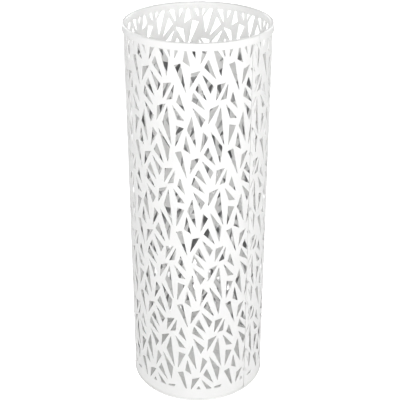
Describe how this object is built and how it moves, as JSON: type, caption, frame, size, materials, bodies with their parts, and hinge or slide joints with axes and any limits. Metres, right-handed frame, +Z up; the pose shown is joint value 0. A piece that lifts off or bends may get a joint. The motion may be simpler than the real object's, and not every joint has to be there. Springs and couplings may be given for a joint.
{
  "type": "umbrella stand",
  "caption": "Free-standing round umbrella stand: a tall steel tube punched with slender triangular holes, with an edged mouth, a base pan on rubber feet and a lift-out drip tray.",
  "frame": {"origin": "centre of the footprint, on the floor under the feet", "axes": "+Z up along the tube's axis; the front is -Y, and the upright seam of the wall is at the right of the front, 45 degrees towards +X"},
  "size_m": [0.2025, 0.2025, 0.557],
  "materials": {
    "white_powder_coat": "fine satin powder coat on steel sheet",
    "white_plastic": "smooth moulded, slightly matt",
    "grey_rubber": "matt moulded"
  },
  "bodies": {
    "stand": {"perforated_wall": "white_powder_coat", "top_rim": "white_powder_coat", "base_pan": "white_powder_coat", "foot_1": "grey_rubber", "foot_2": "grey_rubber", "foot_3": "grey_rubber", "foot_4": "grey_rubber"},
    "drip_tray": {"drip_tray": "white_plastic"}
  },
  "joints": [
    {"name": "drip_tray_lift", "type": "slide", "parent": "stand", "child": "drip_tray", "axis": [0, 0, 1], "range_m": [0, 0.57]}
  ]
}
